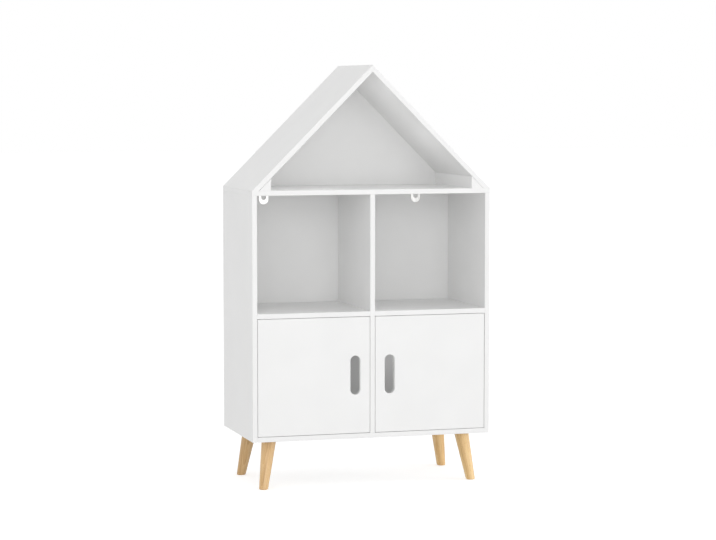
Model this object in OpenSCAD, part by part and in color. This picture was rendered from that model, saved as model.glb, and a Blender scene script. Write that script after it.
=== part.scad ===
// House-shaped bookcase for a child's room: a carcass with two open compartments and two
// cupboards, an open attic under a pitched roof, and four splayed legs.
// Millimetres. The origin is on the floor under the middle of the carcass. +Z is up, and the
// doors face -Y.

/* [Carcass] */
// Width across the outer faces of the side panels
carcass_w = 600; // [500:10:800]
// Depth of the side panels, from front edge to rear edge
carcass_d = 300; // [260:10:400]
// Height from the underside of the side panels to the top of the eaves board
carcass_h = 604; // [560:2:800]
// Height of the middle shelves' top faces above the underside of the side panels
shelf_top_h = 309; // [260:1:360]
// Thickness of every painted board
board_t = 12; // [12:0.5:16]
// Chamfer on the edges of the boards that show
edge_ease = 0.6; // [0.4:0.1:1.2]

/* [Roof] */
// Pitch of the two roof panels in degrees
roof_pitch = 45; // [38:1:50]
// Width of a corner block's base
block_w = 30; // [26:1:45]
// Width cut off the thin edge of a corner block
block_nose = 2; // [1.5:0.1:3]
// Open seam between a corner block and the roof panel above it
block_seam = 0.5; // [0:0.1:0.7]

/* [Back panels] */
// Thickness of the back panels
back_t = 3; // [2.5:0.5:5]
// Distance from the rear edges of the boards to the back panels
back_inset = 15; // [10:1:25]
// Depth of the grooves that hold the back panels
groove_depth = 4; // [2.5:0.25:4.5]
// Clearance of a back panel in its grooves
groove_gap = 0.2; // [0.1:0.05:0.4]

/* [Doors] */
// Gap above, below and beside the free edge of a door
door_gap = 1; // [0.9:0.1:3]
// Gap between a door's hinge edge and the side panel
hinge_gap = 0.9; // [0.8:0.1:4]
// Distance from a door's hinge edge to its pivot
pivot_inset = 15.1; // [12:0.1:20]
// Clearance of a door's rounded hinge edge from the side panel as it swings
swing_clearance = 0.3; // [0.2:0.05:0.6]
// Radius of a door's corners
door_corner_r = 2; // [1:0.5:8]
// Width of a finger slot
slot_w = 25; // [20:1:35]
// Height of a finger slot
slot_h = 95; // [60:5:140]
// Distance from a door's free edge to the middle of its finger slot
slot_inset = 36.5; // [28:0.5:60]
// Chamfer round a finger slot
slot_ease = 1; // [0.5:0.1:2]

/* [Door pivots] */
// Diameter of the hinge pins
pin_d = 5; // [4:0.25:6]
// Length of a hinge pin inside the door
pin_grip = 14; // [10:1:20]
// Length of a hinge pin inside its bush
pin_reach = 6; // [4:0.5:7]
// Radial running clearance of a hinge pin in its bush
pin_clearance = 0.05; // [0.02:0.01:0.1]
// Wall of a bush round the pin
bush_wall = 1.5; // [1:0.1:1.5]
// Depth of a bush in its board
bush_depth = 8; // [7.5:0.25:9]
// Thickness of a bush's flange, which spaces the door
flange_t = 0.6; // [0.4:0.1:0.6]
// Width of a bush's flange round its body
flange_w = 1; // [0.5:0.1:1.4]

/* [Magnetic catches] */
// Distance from the middle of the bookcase to the middle of a catch
catch_x = 42; // [36:1:80]
// Length of a catch's housing
catch_l = 28; // [24:1:36]
// Depth of a catch's housing
catch_d = 15; // [12:1:20]
// Height of a catch's housing
catch_h = 12.5; // [11:0.5:16]
// Length of each screw ear of a housing
ear_l = 9; // [8:0.5:12]
// Thickness of a screw ear
ear_t = 2.5; // [2:0.25:4]
// Wall of a catch's housing round its magnet
catch_wall = 2.5; // [1.5:0.1:3]
// Length of a strike plate
strike_l = 30; // [24:1:36]
// Height of a strike plate
strike_h = 10; // [8:0.5:10]
// Thickness of a strike plate
strike_t = 1.2; // [1.2:0.1:2]
// Distance from a door's top edge to its strike plate
strike_drop = 1; // [0.5:0.1:1.5]
// Gap between a strike plate and the magnet of its catch
catch_gap = 0.3; // [0.2:0.05:0.5]

/* [Legs] */
// Height of the legs
leg_h = 120; // [80:5:200]
// Splay of the legs in degrees, both sideways and front to back
leg_splay = 9; // [0:1:12]
// Radius of a leg where it meets the carcass
leg_top_r = 18; // [17:0.5:22]
// Radius of a leg at the floor
leg_foot_r = 11; // [9:0.5:15]
// Distance from the outer face of a side panel to the middle of a leg's top
leg_inset_x = 54; // [50:1:80]
// Distance from an end of the side panel to the middle of a leg's top
leg_inset_y = 55; // [50:1:70]
// Chamfer round a leg's foot
foot_ease = 1.5; // [0.5:0.1:3]

/* [Leg fixings] */
// Diameter of the leg bolts
leg_bolt_d = 6; // [5:0.5:8]
// Length of a leg bolt under its head
leg_bolt_l = 30; // [26:1:36]
// Diameter of a leg bolt's head
leg_bolt_head_d = 14; // [12:0.5:17]
// Thickness of a leg bolt's head
leg_bolt_head_t = 2.5; // [2:0.1:3.5]
// Wall of the insert nuts
insert_wall = 2; // [1.5:0.1:3]
// Length of the insert nuts
insert_l = 13; // [10:0.5:15]
// Distance from a leg bolt to the dowel that stops the leg turning
leg_dowel_offset = 11; // [10:0.5:11.5]

/* [Wall brackets] */
// Distance from the outer face of a side panel to the middle of its wall bracket
bracket_inset = 100; // [80:5:140]
// Width of a wall bracket
bracket_w = 24; // [20:1:30]
// Drop of a bracket's tab below the eaves board
bracket_drop = 34; // [32:1:45]
// Reach of a bracket under the eaves board, from the back panel
bracket_reach = 30; // [28:1:40]
// Thickness of a bracket's steel
bracket_t = 1.5; // [1:0.1:2]
// Width of the upright slot in a bracket's tab
bracket_slot_w = 13; // [8:0.5:15]
// Height of that slot
bracket_slot_h = 18; // [15:0.5:19]
// Distance from the slot to the lower end of the tab
bracket_slot_rise = 11; // [9:0.5:14]
// Distance from a bracket's front end to its first screw
bracket_screw_edge = 8; // [6:0.5:9]
// Distance between the two screws of a bracket
bracket_screw_pitch = 11; // [8:0.5:12]
// Diameter of the wall screws' holes in the back panel
wall_hole_d = 5; // [4:0.5:8]
// Drop of those holes' middles below the eaves board
wall_hole_drop = 10; // [8:0.5:12]

/* [Cam fittings and dowels] */
// Diameter of the cam locks
cam_d = 12; // [11:0.25:14]
// Rise of a cam lock above the axis of its bolt
cam_rise = 3.5; // [3.2:0.1:4]
// Distance from a board's end to the middle of a cam lock
cam_setback = 24; // [20:0.5:30]
// Distance from a board's front or rear edge to the nearest cam lock
cam_inset = 45; // [40:1:50]
// Distance from the middle of the full-depth boards to the inner pair of fittings
inner_pair_y = 50; // [40:1:55]
// Depth of a cam bolt's thread in the face of a side panel
thread_l = 9; // [8:0.25:9.5]
// Diameter of the wooden dowels
dowel_d = 6; // [5:0.25:7]
// Length of a dowel inside the end of a board
dowel_grip = 20; // [14:1:24]
// Depth of a dowel in the face of a board
dowel_face = 8; // [6:0.25:9]
// Distance from a board's front or rear edge to the nearest dowel
dowel_inset = 90; // [70:1:100]
// Distance from the front or rear edge of the bottom board to its end dowels
end_dowel_inset = 40; // [36:1:45]
// Radial clearance of a hidden fitting in its hole
fit_gap = 0.1; // [0.05:0.05:0.2]

/* [Screws] */
// Diameter of the long screws
screw_d = 4; // [3.5:0.25:4.5]
// Diameter of a countersunk head
screw_head_d = 7.5; // [7:0.25:8.5]
// Length of the screws through the eaves board and bottom board into an edge
edge_screw_l = 38; // [30:1:45]
// Length of the screws through the eaves board into the corner blocks
block_screw_l = 23; // [20:0.5:24]
// Distance from a corner block's inner face to its screws
block_screw_inset = 10; // [8:0.5:12]
// Diameter of the small screws
small_screw_d = 3; // [2.5:0.25:3.5]
// Length of the small screws under their heads
small_screw_l = 9; // [8:0.25:9.5]
// Diameter of a small screw's head
small_head_d = 6; // [5.5:0.25:6.5]
// Height of a small screw's head
small_head_h = 1.8; // [1.4:0.1:2.2]

/* [Hidden] */
$fn = 48;
overcut = 1;
paint = "white";
beech = [0.87, 0.70, 0.48];
steel = [0.70, 0.72, 0.74];
brass = [0.78, 0.62, 0.32];
nylon = [0.90, 0.90, 0.88];
magnet_black = [0.20, 0.20, 0.21];

// Levels and planes of the carcass
eaves_z = leg_h + carcass_h;
eaves_under_z = eaves_z - board_t;
bottom_top_z = leg_h + board_t;
shelf_z = leg_h + shelf_top_h - board_t;
front_y = -carcass_d / 2;
rear_y = carcass_d / 2;
back_y = rear_y - back_inset - back_t;
side_x = carcass_w / 2;
inner_x = side_x - board_t;
divider_x = board_t / 2;
shelf_d = back_y - front_y;

// Roof: where the sloping panels meet the eaves board and each other
foot_x = side_x - board_t / sin(roof_pitch);
roof_rise = side_x * tan(roof_pitch);
apex_z = eaves_z + roof_rise;
inner_apex_z = apex_z - board_t / cos(roof_pitch);
slope_l = side_x / cos(roof_pitch);
block_x = foot_x - block_w;
block_mid_z = eaves_z + block_w * tan(roof_pitch) / 2;

// Doors and their pivots
door_x0 = inner_x - hinge_gap;
door_x1 = divider_x + door_gap;
door_z0 = bottom_top_z + door_gap;
door_z1 = shelf_z - door_gap;
door_mid_z = (door_z0 + door_z1) / 2;
door_inner_y = front_y + board_t;
pivot_x = door_x0 - pivot_inset;
pivot_y = front_y + board_t / 2;
swing_r = pivot_inset + hinge_gap - swing_clearance;
bush_r = pin_d / 2 + pin_clearance + bush_wall;

// Magnetic catches
catch_y = door_inner_y + strike_t + catch_gap;
strike_z = shelf_z - door_gap - strike_h / 2 - strike_drop;
catch_screw_x = catch_l / 2 + ear_l / 2;
ear_inset = 2;

// Rows of fittings from front to back
shelf_cam_ys = [front_y + cam_inset, back_y - cam_inset];
shelf_dowel_ys = [front_y + dowel_inset, back_y - dowel_inset];
inner_pair_ys = [-inner_pair_y, inner_pair_y];
end_dowel_ys = [front_y + end_dowel_inset, rear_y - end_dowel_inset];
eaves_screw_ys = [front_y + cam_inset, 0, rear_y - cam_inset];
block_dowel_ys = [front_y + dowel_inset, back_y - dowel_inset];
apex_dowel_ys = [front_y + cam_inset, 0, rear_y - back_inset - cam_inset];

// Cam bolt
bolt_thread_r = 2.5;
bolt_collar_r = 3;
bolt_collar_l = 1.2;
bolt_neck_r = 1.5;
bolt_head_r = 2.4;
bolt_head_l = 4;
cam_l = board_t / 2 + cam_rise;
cam_recess_w = 1.4;
cam_recess_l = 7;
cam_recess_depth = 1.6;

// Apex dowels lie level in the mitre, as far from its top as from its bottom
apex_dowel_half = 6;
apex_dowel_top = apex_dowel_half * tan(roof_pitch);
apex_dowel_z = apex_z - (apex_dowel_top + board_t / cos(roof_pitch)) / 2;

// Leg axis
leg_x = side_x - leg_inset_x;
leg_y = rear_y - leg_inset_y;
leg_shift = leg_h * tan(leg_splay);
leg_lean = atan(sqrt(2) * tan(leg_splay));
leg_axis_l = leg_h / cos(leg_lean);
leg_taper = (leg_top_r - leg_foot_r) / leg_axis_l;
insert_r = leg_bolt_d / 2 + insert_wall;
hex_socket_d = 4.6;
leg_bolt_ease = 0.6;

// Wall brackets
bracket_x = side_x - bracket_inset;
bracket_bend_r = 2 * bracket_t;

// Cross recess in the heads of screws
recess_w = 0.9;
recess_depth = 1;

// ---------- boards ----------

// Corners of a rectangle, with every corner cut off at 45 degrees when ease is above zero
function eased_rectangle(low, high, ease) =
    ease == 0
    ? [low, [high.x, low.y], high, [low.x, high.y]]
    : [
        [low.x + ease, low.y], [high.x - ease, low.y],
        [high.x, low.y + ease], [high.x, high.y - ease],
        [high.x - ease, high.y], [low.x + ease, high.y],
        [low.x, high.y - ease], [low.x, low.y + ease]
    ];

module prism_along_x(low, high, ease) {
    translate([low.x, 0, 0])
        rotate([90, 0, 90])
            linear_extrude(height = high.x - low.x)
                polygon(eased_rectangle([low.y, low.z], [high.y, high.z], ease));
}

module prism_along_y(low, high, ease) {
    translate([0, high.y, 0])
        rotate([90, 0, 0])
            linear_extrude(height = high.y - low.y)
                polygon(eased_rectangle([low.x, low.z], [high.x, high.z], ease));
}

module prism_along_z(low, high, ease) {
    translate([0, 0, low.z])
        linear_extrude(height = high.z - low.z)
            polygon(eased_rectangle([low.x, low.y], [high.x, high.y], ease));
}

// A board between two corners. eased is [x, y, z]: 1 where the edges along that axis are chamfered
module board(low, high, eased) {
    intersection() {
        prism_along_x(low, high, eased.x * edge_ease);
        prism_along_y(low, high, eased.y * edge_ease);
        prism_along_z(low, high, eased.z * edge_ease);
    }
}

module mirrored() {
    mirror([1, 0, 0])
        children();
}

module on_both_sides() {
    children();
    mirrored()
        children();
}

// ---------- fittings ----------

module rod(length, radius) {
    rotate([0, 90, 0])
        cylinder(h = length, r = radius);
}

// Dowel or its hole along X, from behind the plane x = 0 to in front of it
module dowel_along_x(behind, ahead, radius) {
    translate([-behind, 0, 0])
        rod(behind + ahead, radius);
}

module dowel_along_z(below, above, radius) {
    translate([0, 0, -below])
        cylinder(h = below + above, r = radius);
}

// Cam bolt along +X. The plane x = 0 is the face that its thread enters
module cam_bolt(thread) {
    neck_end = cam_setback - bolt_head_l / 2;
    head_end = cam_setback + bolt_head_l / 2;
    rotate([0, 90, 0])
        rotate_extrude()
            polygon([
                [0, -thread], [bolt_thread_r, -thread],
                [bolt_thread_r, 0], [bolt_collar_r, 0],
                [bolt_collar_r, bolt_collar_l], [bolt_neck_r, bolt_collar_l],
                [bolt_neck_r, neck_end], [bolt_head_r, neck_end],
                [bolt_head_r, head_end], [0, head_end]
            ]);
}

// Hole for a cam bolt's thread in the face of a board
module thread_hole(depth) {
    translate([-depth, 0, 0])
        rod(depth + overcut, bolt_thread_r + fit_gap);
}

// What a cam joint takes out of the end of a board whose mid-plane is z = 0
module cam_joint_cut() {
    translate([-overcut, 0, 0])
        rod(cam_setback + overcut, bolt_collar_r + fit_gap);
    translate([cam_setback, 0, -board_t / 2 - overcut])
        cylinder(h = cam_l + overcut, r = cam_d / 2 + fit_gap);
}

// Cam lock: a drum with a mouth for the bolt's head, a slot round it for the neck, and a cross recess
module cam_lock() {
    translate([cam_setback, 0, -board_t / 2])
        difference() {
            cylinder(h = cam_l, r = cam_d / 2);
            translate([-cam_d, 0, board_t / 2])
                rod(cam_d + bolt_head_l / 2 + fit_gap, bolt_head_r + fit_gap);
            translate([0, 0, board_t / 2 - bolt_neck_r - fit_gap])
                rotate([0, 0, 90])
                    rotate_extrude(angle = 180)
                        translate([bolt_head_r, 0])
                            square([cam_d, 2 * (bolt_neck_r + fit_gap)]);
            for (turn = [45, 135])
                rotate([0, 0, turn])
                    cube([cam_recess_l, cam_recess_w, 2 * cam_recess_depth], center = true);
        }
}

module cross_recess() {
    for (turn = [0, 90])
        rotate([0, 0, turn])
            cube([small_head_d / 2, recess_w, 2 * recess_depth], center = true);
}

// Countersunk screw, or with grow above zero its hole. The head lies in the plane z = 0
module countersunk_shape(length, diameter, head, grow) {
    shank_r = diameter / 2 + grow;
    head_r = head / 2 + grow;
    rotate_extrude()
        polygon([
            [0, 0], [head_r, 0],
            [shank_r, shank_r - head_r], [shank_r, diameter / 2 - length],
            [diameter / 4 + grow, -length], [0, -length]
        ]);
}

module countersunk_screw(length, diameter, head) {
    difference() {
        countersunk_shape(length, diameter, head, 0);
        cross_recess();
    }
}

// Pan head screw with its head above the plane z = 0
module pan_screw() {
    difference() {
        rotate_extrude()
            polygon([
                [0, small_head_h], [small_head_d / 4, small_head_h],
                [small_head_d / 2, small_head_h / 2], [small_head_d / 2, 0],
                [small_screw_d / 2, 0], [small_screw_d / 2, small_screw_d / 2 - small_screw_l],
                [small_screw_d / 4, -small_screw_l], [0, -small_screw_l]
            ]);
        translate([0, 0, small_head_h])
            cross_recess();
    }
}

module small_pilot_hole() {
    translate([0, 0, -small_screw_l])
        cylinder(h = small_screw_l + overcut, r = small_screw_d / 2 + fit_gap);
}

// ---------- places of the fittings, for the left half ----------

module at_bottom_cams() {
    for (y = inner_pair_ys)
        translate([-inner_x, y, leg_h + board_t / 2])
            children();
}

module at_bottom_end_dowels() {
    for (y = end_dowel_ys)
        translate([-inner_x, y, leg_h + board_t / 2])
            children();
}

module at_shelf_side_cams() {
    for (y = shelf_cam_ys)
        translate([-inner_x, y, shelf_z + board_t / 2])
            children();
}

module at_shelf_side_dowels() {
    for (y = shelf_dowel_ys)
        translate([-inner_x, y, shelf_z + board_t / 2])
            children();
}

module at_divider_cams() {
    for (y = shelf_cam_ys)
        translate([-divider_x, y, shelf_z + board_t / 2])
            mirrored()
                children();
}

module at_divider_dowels() {
    for (y = shelf_dowel_ys)
        translate([0, y, shelf_z + board_t / 2])
            children();
}

// Dowels that stand in the lower and upper edges of the divider
module at_divider_standing_dowels() {
    for (y = shelf_dowel_ys)
        translate([0, y, bottom_top_z])
            children();
    for (y = shelf_dowel_ys)
        translate([0, y, eaves_under_z])
            mirror([0, 0, 1])
                children();
}

module at_eaves_dowels() {
    for (y = inner_pair_ys)
        translate([-side_x + board_t / 2, y, eaves_under_z])
            children();
}

module at_eaves_screws() {
    for (y = eaves_screw_ys)
        translate([-side_x + board_t / 2, y, eaves_z])
            children();
}

module at_divider_screws() {
    for (y = shelf_cam_ys)
        translate([0, y, leg_h])
            mirror([0, 0, 1])
                children();
}

module at_block_screws() {
    for (y = shelf_cam_ys)
        translate([-block_x - block_screw_inset, y, eaves_under_z])
            mirror([0, 0, 1])
                children();
}

// Middle of the face between a corner block and its roof panel, +Z square to the slope
module at_block_dowels() {
    for (y = block_dowel_ys)
        translate([-block_x - block_w / 2, y, block_mid_z])
            rotate([0, -roof_pitch, 0])
                children();
}

module at_apex_dowels() {
    for (y = apex_dowel_ys)
        translate([0, y, apex_dowel_z])
            children();
}

module at_back_screws() {
    divider_screw_zs = [bottom_top_z + cam_inset, shelf_z + board_t + cam_inset, eaves_under_z - cam_inset];
    for (z = divider_screw_zs)
        translate([0, back_y + back_t, z])
            rotate([-90, 0, 0])
                children();
    for (x = [-inner_x / 2, inner_x / 2])
        translate([x, back_y + back_t, shelf_z + board_t / 2])
            rotate([-90, 0, 0])
                children();
}

module at_left_pivot() {
    translate([-pivot_x, pivot_y, 0])
        children();
}

// A leg's frame: its top's middle is over the origin, and +X and +Y point to the middle of the bookcase
module at_leg(right, rear) {
    translate([right ? leg_x : -leg_x, rear ? leg_y : -leg_y, 0])
        mirror([right ? 1 : 0, 0, 0])
            mirror([0, rear ? 1 : 0, 0])
                children();
}

module at_legs() {
    for (right = [false, true], rear = [false, true])
        at_leg(right, rear)
            children();
}

// ---------- carcass ----------

module lower_back_shape(grow) {
    half_w = inner_x + groove_depth - groove_gap + grow;
    low_z = bottom_top_z - groove_depth + groove_gap - grow;
    high_z = eaves_under_z + groove_depth - groove_gap + grow;
    translate([-half_w, back_y - grow, low_z])
        cube([2 * half_w, back_t + 2 * grow, high_z - low_z]);
}

module lower_back_panel() {
    color(paint)
        difference() {
            lower_back_shape(0);
            at_back_screws()
                small_pilot_hole();
            for (side = [-1, 1])
                translate([side * bracket_x, back_y - overcut, eaves_under_z - wall_hole_drop])
                    rotate([-90, 0, 0])
                        cylinder(h = back_t + 2 * overcut, d = wall_hole_d);
        }
}

// The triangle inside the roof, let into the grooves of the roof panels and the eaves board
module attic_back_shape(grow) {
    reach = groove_depth - groove_gap + grow;
    low_z = eaves_z - reach;
    top_z = inner_apex_z + reach / cos(roof_pitch);
    half_w = foot_x + grow;
    shoulder_z = top_z - half_w * tan(roof_pitch);
    translate([0, back_y + back_t + grow, 0])
        rotate([90, 0, 0])
            linear_extrude(height = back_t + 2 * grow)
                polygon([
                    [-half_w, low_z], [half_w, low_z], [half_w, shoulder_z],
                    [0, top_z], [-half_w, shoulder_z]
                ]);
}

module attic_back_panel() {
    color(paint)
        attic_back_shape(0);
}

module side_panel() {
    difference() {
        board([-side_x, front_y, leg_h], [-inner_x, rear_y, eaves_under_z], [0, 1, 1]);
        lower_back_shape(groove_gap);
        at_bottom_cams()
            thread_hole(thread_l);
        at_shelf_side_cams()
            thread_hole(thread_l);
        at_bottom_end_dowels()
            dowel_along_x(dowel_face, overcut, dowel_d / 2 + fit_gap);
        at_shelf_side_dowels()
            dowel_along_x(dowel_face, overcut, dowel_d / 2 + fit_gap);
        at_eaves_dowels()
            dowel_along_z(dowel_grip, overcut, dowel_d / 2 + fit_gap);
        at_eaves_screws()
            countersunk_shape(edge_screw_l, screw_d, screw_head_d, fit_gap);
    }
}

module left_side_panel() {
    color(paint)
        side_panel();
}

module right_side_panel() {
    color(paint)
        mirrored()
            side_panel();
}

module bottom_board() {
    color(paint)
        difference() {
            board([-inner_x, front_y, leg_h], [inner_x, rear_y, bottom_top_z], [1, 0, 0]);
            lower_back_shape(groove_gap);
            on_both_sides() {
                at_bottom_cams()
                    cam_joint_cut();
                at_bottom_end_dowels()
                    dowel_along_x(overcut, dowel_grip, dowel_d / 2 + fit_gap);
                at_left_pivot()
                    bush_hole();
            }
            at_divider_standing_dowels()
                dowel_along_z(dowel_face, overcut, dowel_d / 2 + fit_gap);
            at_divider_screws()
                countersunk_shape(edge_screw_l, screw_d, screw_head_d, fit_gap);
            at_legs()
                leg_bolt_hole();
            at_legs()
                leg_dowel_shape(fit_gap);
        }
}

module eaves_board() {
    color(paint)
        difference() {
            board([-side_x, front_y, eaves_under_z], [side_x, rear_y, eaves_z], [1, 1, 0]);
            lower_back_shape(groove_gap);
            attic_back_shape(groove_gap);
            on_both_sides() {
                at_eaves_dowels()
                    dowel_along_z(overcut, dowel_face, dowel_d / 2 + fit_gap);
                at_eaves_screws()
                    countersunk_shape(edge_screw_l, screw_d, screw_head_d, fit_gap);
                at_block_screws()
                    countersunk_shape(block_screw_l, screw_d, screw_head_d, fit_gap);
                at_bracket_screws()
                    small_pilot_hole();
            }
            at_divider_standing_dowels()
                dowel_along_z(dowel_face, overcut, dowel_d / 2 + fit_gap);
        }
}

module centre_divider() {
    color(paint)
        difference() {
            board([-divider_x, front_y, bottom_top_z], [divider_x, back_y, eaves_under_z], [0, 0, 1]);
            at_divider_cams()
                thread_hole(board_t + overcut);
            at_divider_dowels()
                dowel_along_x(board_t, board_t, dowel_d / 2 + fit_gap);
            at_divider_standing_dowels()
                dowel_along_z(overcut, dowel_grip, dowel_d / 2 + fit_gap);
            at_divider_screws()
                countersunk_shape(edge_screw_l, screw_d, screw_head_d, fit_gap);
            at_back_screws()
                small_pilot_hole();
        }
}

module middle_shelf() {
    difference() {
        board([-inner_x, front_y, shelf_z], [-divider_x, back_y, shelf_z + board_t], [1, 0, 0]);
        at_shelf_side_cams()
            cam_joint_cut();
        at_divider_cams()
            cam_joint_cut();
        at_shelf_side_dowels()
            dowel_along_x(overcut, dowel_grip, dowel_d / 2 + fit_gap);
        at_divider_dowels()
            dowel_along_x(divider_x + dowel_grip, 0, dowel_d / 2 + fit_gap);
        at_left_pivot()
            translate([0, 0, door_z0 + door_z1])
                mirror([0, 0, 1])
                    bush_hole();
        at_back_screws()
            small_pilot_hole();
        at_catch_screws()
            small_pilot_hole();
    }
}

module left_middle_shelf() {
    color(paint)
        middle_shelf();
}

module right_middle_shelf() {
    color(paint)
        mirrored()
            middle_shelf();
}

// ---------- roof ----------

module roof_panel() {
    difference() {
        intersection() {
            translate([-side_x, 0, eaves_z])
                rotate([0, -roof_pitch, 0])
                    board([-overcut, front_y, -board_t], [slope_l + overcut, rear_y, 0], [1, 0, 0]);
            translate([-carcass_w, -carcass_d, eaves_z])
                cube([carcass_w, 2 * carcass_d, 2 * roof_rise]);
        }
        attic_back_shape(groove_gap);
        at_block_dowels()
            dowel_along_z(overcut, dowel_face, dowel_d / 2 + fit_gap);
        at_apex_dowels()
            dowel_along_x(apex_dowel_half, overcut, dowel_d / 2 + fit_gap);
    }
}

module left_roof_panel() {
    color(paint)
        roof_panel();
}

module right_roof_panel() {
    color(paint)
        mirrored()
            roof_panel();
}

// A square bar along +X, turned so that it cuts a chamfer along an edge
module chamfer_bar(length) {
    bar_w = edge_ease * sqrt(2);
    rotate([45, 0, 0])
        translate([-overcut, -bar_w / 2, -bar_w / 2])
            cube([length + 2 * overcut, bar_w, bar_w]);
}

module corner_block() {
    seam_drop = block_seam / cos(roof_pitch);
    block_h = block_w * tan(roof_pitch) - seam_drop;
    nose_h = block_nose * tan(roof_pitch) - seam_drop;
    difference() {
        translate([0, back_y, 0])
            rotate([90, 0, 0])
                linear_extrude(height = shelf_d)
                    polygon([
                        [-foot_x + block_nose, eaves_z],
                        [-block_x, eaves_z],
                        [-block_x, eaves_z + block_h],
                        [-foot_x + block_nose, eaves_z + nose_h]
                    ]);
        translate([-foot_x, front_y, eaves_z - seam_drop])
            rotate([0, -roof_pitch, 0])
                chamfer_bar(block_w / cos(roof_pitch));
        translate([-block_x, front_y, eaves_z])
            rotate([0, -90, 0])
                chamfer_bar(block_h);
        at_block_screws()
            countersunk_shape(block_screw_l, screw_d, screw_head_d, fit_gap);
        at_block_dowels()
            dowel_along_z(dowel_face, overcut, dowel_d / 2 + fit_gap);
    }
}

module left_corner_block() {
    color(paint)
        corner_block();
}

module right_corner_block() {
    color(paint)
        mirrored()
            corner_block();
}

// ---------- doors ----------

// The hinge edge is kept within a circle round the pivot, so that it clears the side panel
module door_plan() {
    intersection() {
        polygon(eased_rectangle([-door_x0, front_y], [-door_x1, door_inner_y], edge_ease));
        union() {
            translate([-pivot_x, pivot_y])
                circle(r = swing_r);
            translate([-pivot_x, front_y - overcut])
                square([pivot_x, board_t + 2 * overcut]);
        }
    }
}

module door_outline() {
    door_w = door_x0 - door_x1;
    door_h = door_z1 - door_z0;
    translate([-door_x0, door_z0]) {
        translate([door_corner_r, 0])
            square([door_w - 2 * door_corner_r, door_h]);
        translate([0, door_corner_r])
            square([door_w, door_h - 2 * door_corner_r]);
        for (x = [door_corner_r, door_w - door_corner_r], z = [door_corner_r, door_h - door_corner_r])
            translate([x, z])
                circle(r = door_corner_r);
    }
}

// Finger slot through the door, with a chamfer round its front edge. +Z points out of the front
module finger_slot() {
    slot_r = slot_w / 2;
    reach = slot_h / 2 - slot_r;
    for (end = [-reach, reach])
        translate([0, end, 0]) {
            translate([0, 0, -board_t - overcut])
                cylinder(h = board_t + 2 * overcut, r = slot_r);
            translate([0, 0, -slot_ease])
                cylinder(h = 2 * slot_ease, r1 = slot_r, r2 = slot_r + 2 * slot_ease);
        }
    translate([-slot_r, -reach, -board_t - overcut])
        cube([slot_w, 2 * reach, board_t + 2 * overcut]);
    rotate([90, 0, 0])
        translate([0, 0, -reach])
            linear_extrude(height = 2 * reach)
                polygon([
                    [-slot_r, -slot_ease], [slot_r, -slot_ease],
                    [slot_r + 2 * slot_ease, slot_ease], [-slot_r - 2 * slot_ease, slot_ease]
                ]);
}

module door() {
    difference() {
        intersection() {
            translate([0, 0, door_z0 - overcut])
                linear_extrude(height = door_z1 - door_z0 + 2 * overcut)
                    door_plan();
            prism_along_x(
                [-inner_x, front_y, door_z0], [0, door_inner_y, door_z1], edge_ease
            );
            translate([0, door_inner_y + overcut, 0])
                rotate([90, 0, 0])
                    linear_extrude(height = board_t + 2 * overcut)
                        door_outline();
        }
        translate([-door_x1 - slot_inset, front_y, door_mid_z])
            rotate([90, 0, 0])
                finger_slot();
        at_left_pivot()
            on_both_door_ends()
                translate([0, 0, door_z0 - overcut])
                    cylinder(h = pin_grip + overcut, d = pin_d);
        at_strike_screw()
            small_pilot_hole();
    }
}

module left_door() {
    color(paint)
        door();
}

module right_door() {
    color(paint)
        mirrored()
            door();
}

// Its children, placed for the door's lower end, are repeated upside down for the upper end
module on_both_door_ends() {
    children();
    translate([0, 0, door_z0 + door_z1])
        mirror([0, 0, 1])
            children();
}

module hinge_pins() {
    at_left_pivot()
        on_both_door_ends()
            translate([0, 0, door_z0 - door_gap - pin_reach])
                cylinder(h = pin_reach + door_gap + pin_grip, d = pin_d);
}

module left_door_hinge_pins() {
    color(steel)
        hinge_pins();
}

module right_door_hinge_pins() {
    color(steel)
        mirrored()
            hinge_pins();
}

module bush_hole() {
    translate([0, 0, bottom_top_z - bush_depth])
        cylinder(h = bush_depth + overcut, r = bush_r);
}

module door_bushes() {
    at_left_pivot()
        on_both_door_ends()
            translate([0, 0, bottom_top_z])
                difference() {
                    union() {
                        translate([0, 0, -bush_depth])
                            cylinder(h = bush_depth + flange_t, r = bush_r);
                        cylinder(h = flange_t, r = bush_r + flange_w);
                    }
                    translate([0, 0, -bush_depth - overcut])
                        cylinder(h = bush_depth + flange_t + 2 * overcut, r = pin_d / 2 + pin_clearance);
                }
}

module left_door_bushes() {
    color(nylon)
        door_bushes();
}

module right_door_bushes() {
    color(nylon)
        mirrored()
            door_bushes();
}

// ---------- magnetic catches ----------

// Origin of a catch: middle of its front edge, on the underside of the middle shelf
module at_left_catch() {
    translate([-catch_x, catch_y, shelf_z])
        children();
}

module at_catch_screws() {
    for (side = [-1, 1])
        translate([-catch_x + side * catch_screw_x, catch_y + catch_d / 2, shelf_z - ear_t])
            mirror([0, 0, 1])
                children();
}

module at_strike_screw() {
    translate([-catch_x, door_inner_y + strike_t, strike_z])
        rotate([-90, 0, 0])
            children();
}

module magnet_shape(grow) {
    magnet_l = catch_l - 2 * catch_wall;
    magnet_d = catch_d - catch_wall;
    magnet_h = catch_h - 2 * catch_wall;
    translate([-magnet_l / 2 - grow, -grow, catch_wall - catch_h - grow])
        cube([magnet_l + 2 * grow, magnet_d + 2 * grow, magnet_h + 2 * grow]);
}

module catch_housing() {
    difference() {
        at_left_catch()
            difference() {
                union() {
                    board(
                        [-catch_l / 2, 0, -catch_h], [catch_l / 2, catch_d, 0], [0, 1, 1]
                    );
                    translate([-catch_l / 2 - ear_l, ear_inset, -ear_t])
                        cube([catch_l + 2 * ear_l, catch_d - 2 * ear_inset, ear_t]);
                }
                magnet_shape(fit_gap);
            }
        at_catch_screws()
            small_pilot_hole();
    }
}

module left_catch_housing() {
    color(nylon)
        catch_housing();
}

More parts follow.
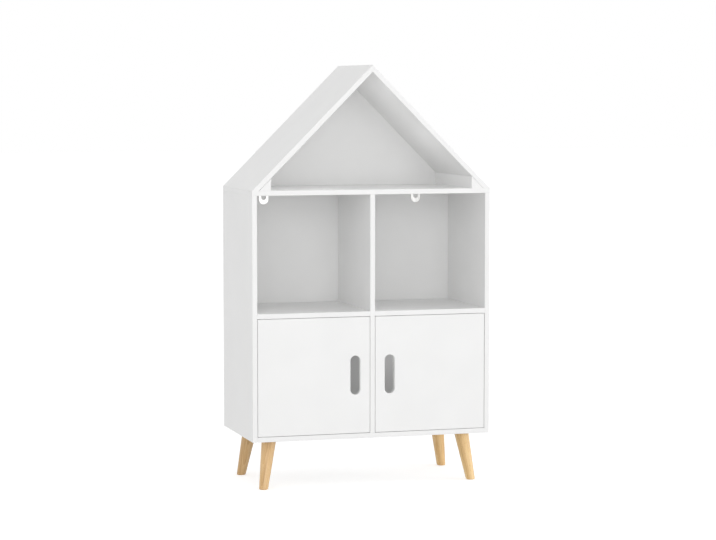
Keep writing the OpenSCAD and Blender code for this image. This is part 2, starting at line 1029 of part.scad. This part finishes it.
module right_catch_housing() {
    color(nylon)
        mirrored()
            catch_housing();
}

module left_catch_magnet() {
    color(magnet_black)
        at_left_catch()
            magnet_shape(0);
}

module right_catch_magnet() {
    mirrored()
        left_catch_magnet();
}

module strike_plate() {
    difference() {
        translate([-catch_x - strike_l / 2, door_inner_y, strike_z - strike_h / 2])
            cube([strike_l, strike_t, strike_h]);
        at_strike_screw()
            countersunk_shape(small_screw_l, small_screw_d, small_screw_d + 2 * strike_t, fit_gap);
    }
}

module left_strike_plate() {
    color(steel)
        strike_plate();
}

module right_strike_plate() {
    color(steel)
        mirrored()
            strike_plate();
}

module strike_screw() {
    at_strike_screw()
        countersunk_screw(small_screw_l, small_screw_d, small_screw_d + 2 * strike_t);
}

module left_strike_screw() {
    color(steel)
        strike_screw();
}

module right_strike_screw() {
    color(steel)
        mirrored()
            strike_screw();
}

module catch_screws() {
    color(steel)
        on_both_sides()
            at_catch_screws()
                pan_screw();
}

// ---------- legs ----------

module leg_bolt_hole() {
    translate([0, 0, leg_h - overcut])
        cylinder(h = board_t + 2 * overcut, r = leg_bolt_d / 2 + fit_gap);
}

module leg_dowel_shape(grow) {
    translate([leg_dowel_offset, 0, leg_h - dowel_face])
        cylinder(h = 2 * dowel_face, r = dowel_d / 2 + grow);
}

// A cone whose axis leans outwards, cut level at the top and at the floor
module leg_blank() {
    spare = leg_top_r;
    low_r = leg_foot_r - spare * leg_taper;
    high_r = leg_top_r + spare * leg_taper;
    intersection() {
        translate([0, 0, leg_h])
            rotate([0, -leg_lean, 225])
                translate([0, 0, -leg_axis_l - spare])
                    cylinder(h = leg_axis_l + 2 * spare, r1 = low_r, r2 = high_r);
        translate([-leg_h, -leg_h, 0])
            cube([2 * leg_h, 2 * leg_h, leg_h]);
        translate([-leg_shift, -leg_shift, 0])
            cylinder(h = leg_h, r1 = leg_foot_r - foot_ease, r2 = leg_foot_r - foot_ease + leg_h);
    }
}

module leg() {
    bolt_hole_l = leg_bolt_l - board_t + 2 * overcut;
    difference() {
        leg_blank();
        translate([0, 0, leg_h - insert_l])
            cylinder(h = insert_l + overcut, r = insert_r + fit_gap);
        translate([0, 0, leg_h - bolt_hole_l])
            cylinder(h = bolt_hole_l + overcut, r = leg_bolt_d / 2 + fit_gap);
        leg_dowel_shape(fit_gap);
    }
}

module front_left_leg() {
    color(beech)
        at_leg(false, false)
            leg();
}

module front_right_leg() {
    color(beech)
        at_leg(true, false)
            leg();
}

module rear_left_leg() {
    color(beech)
        at_leg(false, true)
            leg();
}

module rear_right_leg() {
    color(beech)
        at_leg(true, true)
            leg();
}

// Flat round head on the bottom board, with a hexagon socket
module leg_bolt() {
    head_r = leg_bolt_head_d / 2;
    translate([0, 0, bottom_top_z])
        difference() {
            rotate_extrude()
                polygon([
                    [0, leg_bolt_head_t], [head_r - leg_bolt_ease, leg_bolt_head_t],
                    [head_r, leg_bolt_head_t - leg_bolt_ease], [head_r, 0],
                    [leg_bolt_d / 2, 0], [leg_bolt_d / 2, leg_bolt_ease - leg_bolt_l],
                    [leg_bolt_d / 2 - leg_bolt_ease, -leg_bolt_l], [0, -leg_bolt_l]
                ]);
            cylinder(h = leg_bolt_head_t + overcut, d = hex_socket_d, $fn = 6);
        }
}

module leg_bolts() {
    color(steel)
        at_legs()
            leg_bolt();
}

module leg_insert_nuts() {
    color(brass)
        at_legs()
            translate([0, 0, leg_h - insert_l])
                difference() {
                    cylinder(h = insert_l, r = insert_r);
                    translate([0, 0, -overcut])
                        cylinder(h = insert_l + 2 * overcut, r = leg_bolt_d / 2 + fit_gap);
                }
}

module leg_dowels() {
    color(beech)
        at_legs()
            leg_dowel_shape(0);
}

// ---------- wall brackets ----------

// Origin of a bracket: the corner between the back panel and the underside of the eaves board
module at_left_bracket() {
    translate([-bracket_x, back_y, eaves_under_z])
        children();
}

module at_bracket_screws() {
    first_y = back_y - bracket_reach + bracket_screw_edge;
    for (y = [first_y, first_y + bracket_screw_pitch])
        translate([-bracket_x, y, eaves_under_z - bracket_t])
            mirror([0, 0, 1])
                children();
}

// Slot through a bracket's tab, along the tab from its lower end. +Z is square to the tab
module bracket_slot() {
    slot_r = bracket_slot_w / 2;
    reach = bracket_slot_h - bracket_slot_w;
    translate([0, bracket_drop - bracket_slot_rise - slot_r, -overcut])
        linear_extrude(height = bracket_t + 2 * overcut) {
            circle(r = slot_r);
            translate([0, -reach])
                circle(r = slot_r);
            translate([-slot_r, -reach])
                square([bracket_slot_w, reach]);
        }
}

// Flat arm along +Y with a round end, from the bend to its full length
module bracket_arm(length) {
    linear_extrude(height = bracket_t) {
        translate([-bracket_w / 2, bracket_bend_r])
            square([bracket_w, length - bracket_w / 2 - bracket_bend_r]);
        translate([0, length - bracket_w / 2])
            circle(d = bracket_w);
    }
}

module bracket_bend() {
    translate([-bracket_w / 2, -bracket_bend_r, -bracket_bend_r])
        rotate([90, 0, 90])
            linear_extrude(height = bracket_w)
                intersection() {
                    difference() {
                        circle(r = bracket_bend_r);
                        circle(r = bracket_bend_r - bracket_t);
                    }
                    square(bracket_bend_r);
                }
}

module wall_bracket() {
    difference() {
        at_left_bracket() {
            rotate([180, 0, 0])
                bracket_arm(bracket_reach);
            mirror([0, 0, 1])
                rotate([90, 0, 0])
                    difference() {
                        bracket_arm(bracket_drop);
                        bracket_slot();
                    }
            bracket_bend();
        }
        at_bracket_screws()
            small_pilot_hole();
    }
}

module left_wall_bracket() {
    color(steel)
        wall_bracket();
}

module right_wall_bracket() {
    color(steel)
        mirrored()
            wall_bracket();
}

module bracket_screws() {
    color(steel)
        on_both_sides()
            at_bracket_screws()
                pan_screw();
}

// ---------- hidden joints ----------

module side_cam_bolts() {
    color(steel)
        on_both_sides() {
            at_bottom_cams()
                cam_bolt(thread_l);
            at_shelf_side_cams()
                cam_bolt(thread_l);
        }
}

// Double-ended bolts through the divider
module divider_cam_bolts() {
    color(steel)
        union()
            on_both_sides()
                at_divider_cams()
                    cam_bolt(board_t / 2);
}

module cam_locks() {
    color(steel)
        on_both_sides() {
            at_bottom_cams()
                cam_lock();
            at_shelf_side_cams()
                cam_lock();
            at_divider_cams()
                cam_lock();
        }
}

// Dowels in the ends of the bottom board and middle shelves, and in the upper and lower edges
// of the upright boards
module end_dowels() {
    color(beech) {
        on_both_sides() {
            at_bottom_end_dowels()
                dowel_along_x(dowel_face, dowel_grip, dowel_d / 2);
            at_shelf_side_dowels()
                dowel_along_x(dowel_face, dowel_grip, dowel_d / 2);
            at_eaves_dowels()
                dowel_along_z(dowel_grip, dowel_face, dowel_d / 2);
        }
        at_divider_standing_dowels()
            dowel_along_z(dowel_face, dowel_grip, dowel_d / 2);
    }
}

module divider_dowels() {
    color(beech)
        at_divider_dowels()
            dowel_along_x(divider_x + dowel_grip, divider_x + dowel_grip, dowel_d / 2);
}

module block_dowels() {
    color(beech)
        on_both_sides()
            at_block_dowels()
                dowel_along_z(dowel_face, dowel_face, dowel_d / 2);
}

module apex_dowels() {
    color(beech)
        at_apex_dowels()
            dowel_along_x(apex_dowel_half, apex_dowel_half, dowel_d / 2);
}

module eaves_screws() {
    color(steel)
        on_both_sides()
            at_eaves_screws()
                countersunk_screw(edge_screw_l, screw_d, screw_head_d);
}

module divider_screws() {
    color(steel)
        at_divider_screws()
            countersunk_screw(edge_screw_l, screw_d, screw_head_d);
}

module block_screws() {
    color(steel)
        on_both_sides()
            at_block_screws()
                countersunk_screw(block_screw_l, screw_d, screw_head_d);
}

module back_panel_screws() {
    color(steel)
        at_back_screws()
            pan_screw();
}

left_side_panel();
right_side_panel();
bottom_board();
eaves_board();
centre_divider();
left_middle_shelf();
right_middle_shelf();
left_roof_panel();
right_roof_panel();
left_corner_block();
right_corner_block();
lower_back_panel();
attic_back_panel();
left_door();
right_door();
left_door_hinge_pins();
right_door_hinge_pins();
left_door_bushes();
right_door_bushes();
left_catch_housing();
right_catch_housing();
left_catch_magnet();
right_catch_magnet();
left_strike_plate();
right_strike_plate();
left_strike_screw();
right_strike_screw();
catch_screws();
front_left_leg();
front_right_leg();
rear_left_leg();
rear_right_leg();
leg_bolts();
leg_insert_nuts();
leg_dowels();
left_wall_bracket();
right_wall_bracket();
bracket_screws();
side_cam_bolts();
divider_cam_bolts();
cam_locks();
end_dowels();
divider_dowels();
block_dowels();
apex_dowels();
eaves_screws();
divider_screws();
block_screws();
back_panel_screws();
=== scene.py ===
"""Looks for the house-shaped bookcase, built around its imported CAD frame.

Every CAD node keeps its own mesh and gets a procedural material. Lengths are in metres, in the
frame of the CAD model: the floor is z = 0 and the doors face -Y.
"""

import math

import bpy
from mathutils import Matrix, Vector


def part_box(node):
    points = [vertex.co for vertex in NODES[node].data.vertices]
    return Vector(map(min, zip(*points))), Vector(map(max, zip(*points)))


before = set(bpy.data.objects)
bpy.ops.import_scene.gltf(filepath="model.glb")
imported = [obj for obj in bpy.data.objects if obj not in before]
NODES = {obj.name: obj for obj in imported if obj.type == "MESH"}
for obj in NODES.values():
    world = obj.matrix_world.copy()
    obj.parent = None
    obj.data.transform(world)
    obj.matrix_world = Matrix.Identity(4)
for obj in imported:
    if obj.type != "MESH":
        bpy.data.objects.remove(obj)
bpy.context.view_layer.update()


def link(thing):
    bpy.context.scene.collection.objects.link(thing)
    return thing


def aim(thing, place, target):
    thing.location = place
    thing.rotation_euler = (target - place).to_track_quat("-Z", "Y").to_euler()


# ---------- camera ----------

IMAGE_WIDTH = 716
SENSOR_WIDTH = 36.0
FAR_CLIP = 100.0
CAMERA_AZIMUTH = math.radians(-16.60)
CAMERA_ELEVATION = math.radians(4.41)
CAMERA_DISTANCE = 5.789
CAMERA_TARGET = Vector((0.0076, 0.0, 0.5179))
FOCAL_LENGTH_IN_PIXELS = 2332.0


def direction(azimuth, elevation):
    """Unit vector from the object to a viewer. Azimuth 0 is in front of the doors."""
    return Vector((
        math.sin(azimuth) * math.cos(elevation),
        -math.cos(azimuth) * math.cos(elevation),
        math.sin(elevation),
    ))


def make_camera():
    data = bpy.data.cameras.new("camera")
    data.sensor_width = SENSOR_WIDTH
    data.lens = FOCAL_LENGTH_IN_PIXELS * SENSOR_WIDTH / IMAGE_WIDTH
    data.clip_end = FAR_CLIP
    camera = link(bpy.data.objects.new("camera", data))
    back = direction(CAMERA_AZIMUTH, CAMERA_ELEVATION)
    aim(camera, CAMERA_TARGET + CAMERA_DISTANCE * back, CAMERA_TARGET)
    bpy.context.scene.camera = camera


# ---------- shader nodes ----------

# Most values of a noise texture lie between these
NOISE_LOW = 0.3
NOISE_HIGH = 0.7


def shade(value):
    return (value, value, value)


def scaled(colour, factor):
    return tuple(min(1.0, channel * factor) for channel in colour)


class Shader:
    """A material's node tree, with short calls for the nodes used here."""

    def __init__(self, name):
        self.material = bpy.data.materials.new(name)
        self.material.use_nodes = True
        self.tree = self.material.node_tree
        self.surface = self.tree.nodes["Principled BSDF"]

    def feed(self, socket, value):
        if isinstance(value, bpy.types.NodeSocket):
            self.tree.links.new(value, socket)
        else:
            socket.default_value = value

    def node(self, kind, inputs, **settings):
        made = self.tree.nodes.new("ShaderNode" + kind)
        for name, value in settings.items():
            setattr(made, name, value)
        for name, value in inputs.items():
            self.feed(made.inputs[name], value)
        return made

    def set(self, **sockets):
        """Principled sockets by name, with _ for each space."""
        for name, value in sockets.items():
            self.feed(self.surface.inputs[name.replace("_", " ")], value)

    def place(self):
        """Position in the piece's own frame."""
        return self.node("TexCoord", {}).outputs["Object"]

    def stretched(self, vector, scale):
        return self.node("Mapping", {"Vector": vector, "Scale": scale}).outputs["Vector"]

    def turned(self, vector, rotation, offset):
        inputs = {"Vector": vector, "Rotation": rotation, "Location": offset}
        return self.node("Mapping", inputs).outputs["Vector"]

    def noise(self, vector, scale=1.0, detail=2.0, roughness=0.5):
        inputs = {"Vector": vector, "Scale": scale, "Detail": detail, "Roughness": roughness}
        return self.node("TexNoise", inputs).outputs[0]

    def math(self, operation, first, second=0.0):
        return self.node("Math", {0: first, 1: second}, operation=operation).outputs[0]

    def remap(self, value, low, high, to_low, to_high):
        inputs = {
            "Value": value,
            "From Min": low,
            "From Max": high,
            "To Min": to_low,
            "To Max": to_high,
        }
        return self.node("MapRange", inputs).outputs["Result"]

    def spread(self, noise, to_low, to_high):
        """A noise's usual values, spread from to_low to to_high."""
        return self.remap(noise, NOISE_LOW, NOISE_HIGH, to_low, to_high)

    def ramp(self, value, stops):
        """Colour by value. stops is a list of (position, linear colour)."""
        made = self.node("ValToRGB", {"Fac": value})
        elements = made.color_ramp.elements
        while len(elements) < len(stops):
            elements.new(0.5)
        for element, (position, colour) in zip(elements, stops):
            element.position = position
            element.color = (*colour, 1.0)
        return made.outputs["Color"]

    def bump(self, height, distance, strength):
        inputs = {"Height": height, "Distance": distance, "Strength": strength}
        return self.node("Bump", inputs).outputs["Normal"]


# ---------- materials ----------

WHITE = (0.900, 0.900, 0.896)
ZINC = (0.74, 0.75, 0.77)
GROUND_STEEL = (0.68, 0.68, 0.69)
BRASS = (0.80, 0.62, 0.30)
NICKEL_DARK = (0.95, 0.945, 0.935)
NICKEL_PALE = (0.99, 0.985, 0.975)
NYLON_DARK = (0.78, 0.78, 0.75)
NYLON_PALE = (0.83, 0.83, 0.80)
FERRITE = shade(0.035)
POLE_PLATE = shade(0.60)
POLE_PLATE_THICKNESS = 0.0012

PAINT_IOR = 1.5
LACQUER_IOR = 1.5
NYLON_IOR = 1.53

# Pale wood, its middle tone, and the dark of the late rings and the flecks
BEECH_COLOURS = ((0.90, 0.63, 0.31), (0.76, 0.48, 0.20), (0.48, 0.27, 0.095))
# Place of the tree's pith across the grain, from the middle of the piece
PITH_ACROSS = 0.045
PITH_ASIDE = 0.030
RINGS_PER_METRE = 330.0
RING_SWAY = 0.010
# How far apart two pieces lie in the noise, for each step of their seeds
SEED_STEP = (0.083, 0.061, 0.37)
# What each pattern adds to the tone of the wood
STREAK_SHARE = 0.62
FIBRE_SHARE = 0.26
RING_SHARE = 0.12
FLECK_SHARE = 0.16


def paint(name, tone, gloss_roughness):
    """Rolled satin paint on smooth board: a fine stipple, and slow changes in tone and sheen."""
    s = Shader(name)
    place = s.place()
    stipple = s.noise(place, scale=700.0, detail=3.0, roughness=0.55)
    cloud = s.noise(place, scale=9.0)
    smear = s.noise(place, scale=60.0, detail=4.0, roughness=0.6)
    s.set(
        Base_Color=s.ramp(cloud, [(NOISE_LOW, scaled(tone, 0.985)), (NOISE_HIGH, scaled(tone, 1.01))]),
        Roughness=s.spread(smear, gloss_roughness - 0.05, gloss_roughness + 0.06),
        IOR=PAINT_IOR,
        Normal=s.bump(stipple, distance=0.00003, strength=0.35),
    )
    return s.material


def growth_ring(s, along):
    """0 to 1 from ring to ring round a pith that lies beside the piece, with a slight sway."""
    sway = s.noise(s.stretched(along, (24.0, 24.0, 3.0)))
    push = s.node("CombineXYZ", {"X": s.math("MULTIPLY", sway, RING_SWAY)}).outputs[0]
    bent = s.node("VectorMath", {0: along, 1: push}, operation="ADD").outputs[0]
    split = s.node("SeparateXYZ", {"Vector": bent})
    across = s.math("ADD", split.outputs["X"], PITH_ACROSS)
    aside = s.math("ADD", split.outputs["Y"], PITH_ASIDE)
    squares = s.math("ADD", s.math("MULTIPLY", across, across), s.math("MULTIPLY", aside, aside))
    return s.math("FRACT", s.math("MULTIPLY", s.math("SQRT", squares), RINGS_PER_METRE))


def beech(name, axis, seed, tone_and_painted_shade):
    """Lacquered beech cut from a plank: growth rings round a far pith, fibres and short flecks."""
    s = Shader(name)
    turn = Vector(axis).rotation_difference(Vector((0, 0, 1))).to_euler()
    along = s.turned(s.place(), turn, [step * seed for step in SEED_STEP])
    ring = growth_ring(s, along)
    fibre = s.noise(s.stretched(along, (420.0, 420.0, 9.0)), detail=4.0, roughness=0.6)
    streak = s.noise(s.stretched(along, (90.0, 90.0, 3.5)), detail=3.0, roughness=0.55)
    fleck = s.noise(s.stretched(along, (1500.0, 1500.0, 190.0)), detail=1.0)
    fine = s.math(
        "ADD", s.math("MULTIPLY", fibre, FIBRE_SHARE), s.math("MULTIPLY", ring, RING_SHARE)
    )
    grain = s.math("ADD", s.math("MULTIPLY", streak, STREAK_SHARE), fine)
    tone = s.math("ADD", grain, s.remap(fleck, 0.62, 0.74, 0.0, FLECK_SHARE))
    # Each leg's factor scales the wood colours: partly its own tone, partly painted light and shade
    # for that leg
    light, middle, dark = [tuple(c * t for c, t in zip(colour, tone_and_painted_shade)) for colour in BEECH_COLOURS]
    pores = s.math("ADD", fibre, s.math("MULTIPLY", fleck, 0.4))
    s.set(
        Base_Color=s.ramp(tone, [(0.36, light), (0.52, middle), (0.74, dark)]),
        Roughness=s.spread(fibre, 0.36, 0.50),
        IOR=LACQUER_IOR,
        Coat_Weight=0.25,
        Coat_Roughness=0.22,
        Normal=s.bump(pores, distance=0.00006, strength=0.6),
    )
    return s.material


def metal(name, colour, roughness, grain_scale):
    """Plated steel or brass: fine crystalline changes in roughness and colour."""
    s = Shader(name)
    place = s.place()
    spangle = s.noise(place, scale=grain_scale, detail=4.0, roughness=0.65)
    pits = s.noise(place, scale=2.5 * grain_scale)
    s.set(
        Base_Color=s.ramp(spangle, [(0.35, scaled(colour, 0.86)), (0.65, scaled(colour, 1.08))]),
        Metallic=1.0,
        Roughness=s.spread(spangle, roughness - 0.06, roughness + 0.10),
        Normal=s.bump(pits, distance=0.00002, strength=0.5),
    )
    return s.material


def nickel(name):
    """Bright nickel plate over pressed steel: faint drawing lines down the tab, and soft pits."""
    s = Shader(name)
    place = s.place()
    lines = s.noise(s.stretched(place, (900.0, 900.0, 30.0)), detail=3.0, roughness=0.6)
    pits = s.noise(place, scale=1400.0)
    smear = s.noise(place, scale=80.0, detail=3.0)
    relief = s.math("ADD", lines, s.math("MULTIPLY", pits, 0.5))
    s.set(
        Base_Color=s.ramp(lines, [(0.35, NICKEL_DARK), (0.65, NICKEL_PALE)]),
        Metallic=1.0,
        Roughness=s.spread(smear, 0.12, 0.20),
        Normal=s.bump(relief, distance=0.00001, strength=0.4),
    )
    return s.material


def nylon(name):
    """Moulded nylon: off-white, faintly cloudy, with a fine spark texture."""
    s = Shader(name)
    place = s.place()
    cloud = s.noise(place, scale=120.0, detail=3.0)
    spark = s.noise(place, scale=2600.0)
    s.set(
        Base_Color=s.ramp(cloud, [(NOISE_LOW, NYLON_DARK), (NOISE_HIGH, NYLON_PALE)]),
        Roughness=s.spread(s.noise(place, scale=1500.0), 0.42, 0.55),
        IOR=NYLON_IOR,
        Subsurface_Weight=0.08,
        Subsurface_Scale=0.002,
        Normal=s.bump(spark, distance=0.00003, strength=0.4),
    )
    return s.material


def magnet(name, plate_low, plate_high):
    """Black ferrite between two steel pole plates, told apart by height."""
    s = Shader(name)
    place = s.place()
    height = s.node("SeparateXYZ", {"Vector": place}).outputs["Z"]
    below = s.math("LESS_THAN", height, plate_low)
    above = s.math("GREATER_THAN", height, plate_high)
    plate = s.math("MAXIMUM", below, above)
    crystal = s.noise(place, scale=2200.0, detail=3.0, roughness=0.7)
    s.set(
        Base_Color=s.ramp(plate, [(0.0, FERRITE), (1.0, POLE_PLATE)]),
        Metallic=plate,
        Roughness=s.spread(crystal, 0.35, 0.55),
        Normal=s.bump(crystal, distance=0.00003, strength=0.6),
    )
    return s.material


# ---------- what each node is made of ----------

PAINTED_BOARDS = [
    "left_side_panel",
    "right_side_panel",
    "bottom_board",
    "eaves_board",
    "centre_divider",
    "left_middle_shelf",
    "right_middle_shelf",
    "left_roof_panel",
    "right_roof_panel",
    "left_corner_block",
    "right_corner_block",
]
BACK_PANELS = ["lower_back_panel", "attic_back_panel"]
DOORS = ["left_door", "right_door"]
DOWELS = ["leg_dowels", "end_dowels", "divider_dowels", "block_dowels", "apex_dowels"]
HINGE_PINS = ["left_door_hinge_pins", "right_door_hinge_pins"]
WALL_BRACKETS = ["left_wall_bracket", "right_wall_bracket"]
CATCH_MAGNETS = ["left_catch_magnet", "right_catch_magnet"]
NYLON_PIECES = [
    "left_door_bushes",
    "right_door_bushes",
    "left_catch_housing",
    "right_catch_housing",
]
ZINC_PLATED = [
    "left_strike_plate",
    "right_strike_plate",
    "left_strike_screw",
    "right_strike_screw",
    "catch_screws",
    "leg_bolts",
    "bracket_screws",
    "side_cam_bolts",
    "divider_cam_bolts",
    "cam_locks",
    "eaves_screws",
    "divider_screws",
    "block_screws",
    "back_panel_screws",
]
UPRIGHT = (0.0, 0.0, 1.0)
NO_TINT = (1.0, 1.0, 1.0)
DOWEL_SEED = 5
# Splay of the legs, both sideways and front to back, as in the CAD model
LEG_SPLAY = math.radians(9.0)
# Corner of each leg as signs of x and y, seed of its grain, and a factor on its wood colours: partly
# the leg's own tone, partly painted light and shade that makes each leg lighter or darker by how light
# falls on it
LEGS = {
    "front_left_leg": ((-1, -1), 7, (0.97, 0.975, 1.06)),
    "front_right_leg": ((1, -1), 2, (1.05, 1.10, 1.165)),
    "rear_left_leg": ((-1, 1), 3, (0.855, 0.86, 0.92)),
    "rear_right_leg": ((1, 1), 4, (1.10, 1.09, 1.08)),
}


def dress(names, material):
    for name in names:
        mesh = NODES[name].data
        mesh.materials.clear()
        mesh.materials.append(material)


def dress_all():
    dress(PAINTED_BOARDS, paint("painted_board", WHITE, gloss_roughness=0.38))
    dress(BACK_PANELS, paint("painted_back_panel", WHITE, gloss_roughness=0.45))
    dress(DOORS, paint("painted_door", WHITE, gloss_roughness=0.34))
    lean = math.tan(LEG_SPLAY)
    for name, ((side, end), seed, tone_and_painted_shade) in LEGS.items():
        axis = (-side * lean, -end * lean, 1.0)
        dress([name], beech("beech_" + name, axis, seed, tone_and_painted_shade))
    dress(DOWELS, beech("beech_dowels", UPRIGHT, DOWEL_SEED, NO_TINT))
    dress(ZINC_PLATED, metal("zinc_plated_steel", ZINC, roughness=0.30, grain_scale=900.0))
    dress(HINGE_PINS, metal("ground_steel", GROUND_STEEL, roughness=0.22, grain_scale=1600.0))
    dress(["leg_insert_nuts"], metal("plain_brass", BRASS, roughness=0.28, grain_scale=700.0))
    dress(WALL_BRACKETS, nickel("nickel_plated_steel"))
    dress(NYLON_PIECES, nylon("moulded_nylon"))
    low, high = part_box("left_catch_magnet")
    plate_low = low.z + POLE_PLATE_THICKNESS
    plate_high = high.z - POLE_PLATE_THICKNESS
    dress(CATCH_MAGNETS, magnet("ferrite_and_pole_plates", plate_low, plate_high))


# ---------- world and floor ----------

WORLD_LIGHT = 0.72
FLOOR_HALF = 30.0
FLOOR_TONE = 0.78
# Light that the floor adds for the eye alone, so that it is as white as the background
FLOOR_GLOW = 0.50


def seen_directly(tree):
    """1 for rays that show the background to the eye, straight or through gloss or glass."""
    path = tree.nodes.new("ShaderNodeLightPath")
    either = path.outputs["Is Camera Ray"]
    for name in ("Is Glossy Ray", "Is Transmission Ray"):
        larger = tree.nodes.new("ShaderNodeMath")
        larger.operation = "MAXIMUM"
        tree.links.new(either, larger.inputs[0])
        tree.links.new(path.outputs[name], larger.inputs[1])
        either = larger.outputs[0]
    return either


def make_world():
    world = bpy.data.worlds.new("studio")
    bpy.context.scene.world = world
    world.use_nodes = True
    tree = world.node_tree
    tree.nodes.clear()
    lit = tree.nodes.new("ShaderNodeBackground")
    lit.inputs["Strength"].default_value = WORLD_LIGHT
    shown = tree.nodes.new("ShaderNodeBackground")
    for background in (lit, shown):
        background.inputs["Color"].default_value = (*shade(1.0), 1.0)
    mix = tree.nodes.new("ShaderNodeMixShader")
    tree.links.new(seen_directly(tree), mix.inputs[0])
    tree.links.new(lit.outputs[0], mix.inputs[1])
    tree.links.new(shown.outputs[0], mix.inputs[2])
    out = tree.nodes.new("ShaderNodeOutputWorld")
    tree.links.new(mix.outputs[0], out.inputs["Surface"])


def floor_material():
    material = bpy.data.materials.new("pale_floor")
    material.use_nodes = True
    tree = material.node_tree
    tree.nodes.clear()
    matt = tree.nodes.new("ShaderNodeBsdfDiffuse")
    matt.inputs["Color"].default_value = (*shade(FLOOR_TONE), 1.0)
    glow = tree.nodes.new("ShaderNodeEmission")
    scale = tree.nodes.new("ShaderNodeMath")
    scale.operation = "MULTIPLY"
    scale.inputs[1].default_value = FLOOR_GLOW
    tree.links.new(seen_directly(tree), scale.inputs[0])
    tree.links.new(scale.outputs[0], glow.inputs["Strength"])
    both = tree.nodes.new("ShaderNodeAddShader")
    tree.links.new(matt.outputs[0], both.inputs[0])
    tree.links.new(glow.outputs[0], both.inputs[1])
    out = tree.nodes.new("ShaderNodeOutputMaterial")
    tree.links.new(both.outputs[0], out.inputs["Surface"])
    return material


def make_floor():
    mesh = bpy.data.meshes.new("floor")
    h = FLOOR_HALF
    mesh.from_pydata([(-h, -h, 0), (h, -h, 0), (h, h, 0), (-h, h, 0)], [], [(0, 1, 2, 3)])
    mesh.materials.append(floor_material())
    floor = link(bpy.data.objects.new("floor", mesh))


# ---------- lamps ----------

LAMP_TARGET = Vector((0.0, 0.0, 0.55))
# Place, size and watts of each lamp that stands round the object
SOFT_BOXES = {
    "right_key": ((5.2, -1.8, 1.3), (2.4, 2.2), 88.0),
    "left_fill": ((-3.2, -3.4, 1.9), (2.4, 2.2), 20.0),
    "camera_fill": ((-1.65, -5.5, 1.1), (2.4, 2.0), 12.6),
    "front_fill": ((0.0, -5.5, 1.6), (2.4, 2.0), 22.8),
    "low_front_fill": ((-0.8, -5.0, 0.35), (3.0, 0.6), 9.8),
}
# Place, radius and watts of each small lamp inside, where the boards keep the soft boxes out
INNER_FILLS = {
    "left_cupboard_fill": ((-0.147, 0.02, 0.275), 0.03, 0.093),
    "right_cupboard_fill": ((0.147, 0.02, 0.275), 0.03, 0.093),
    "left_attic_fill": ((-0.11, -0.07, 0.80), 0.05, 0.051),
    "right_attic_fill": ((0.12, -0.05, 0.80), 0.05, 0.030),
    "upper_attic_fill": ((0.02, -0.06, 0.92), 0.03, 0.014),
}


def place_lamp(name, data, place, watts):
    data.energy = watts
    lamp = link(bpy.data.objects.new(name, data))
    aim(lamp, Vector(place), LAMP_TARGET)
    lamp.visible_camera = False


def light_object():
    for name, (place, size, watts) in SOFT_BOXES.items():
        data = bpy.data.lights.new(name, "AREA")
        data.shape = "RECTANGLE"
        data.size, data.size_y = size
        place_lamp(name, data, place, watts)
    for name, (place, radius, watts) in INNER_FILLS.items():
        data = bpy.data.lights.new(name, "POINT")
        data.shadow_soft_size = radius
        place_lamp(name, data, place, watts)


# ---------- build ----------

make_camera()
dress_all()
make_world()
make_floor()
light_object()
bpy.context.scene.view_settings.view_transform = "Standard"
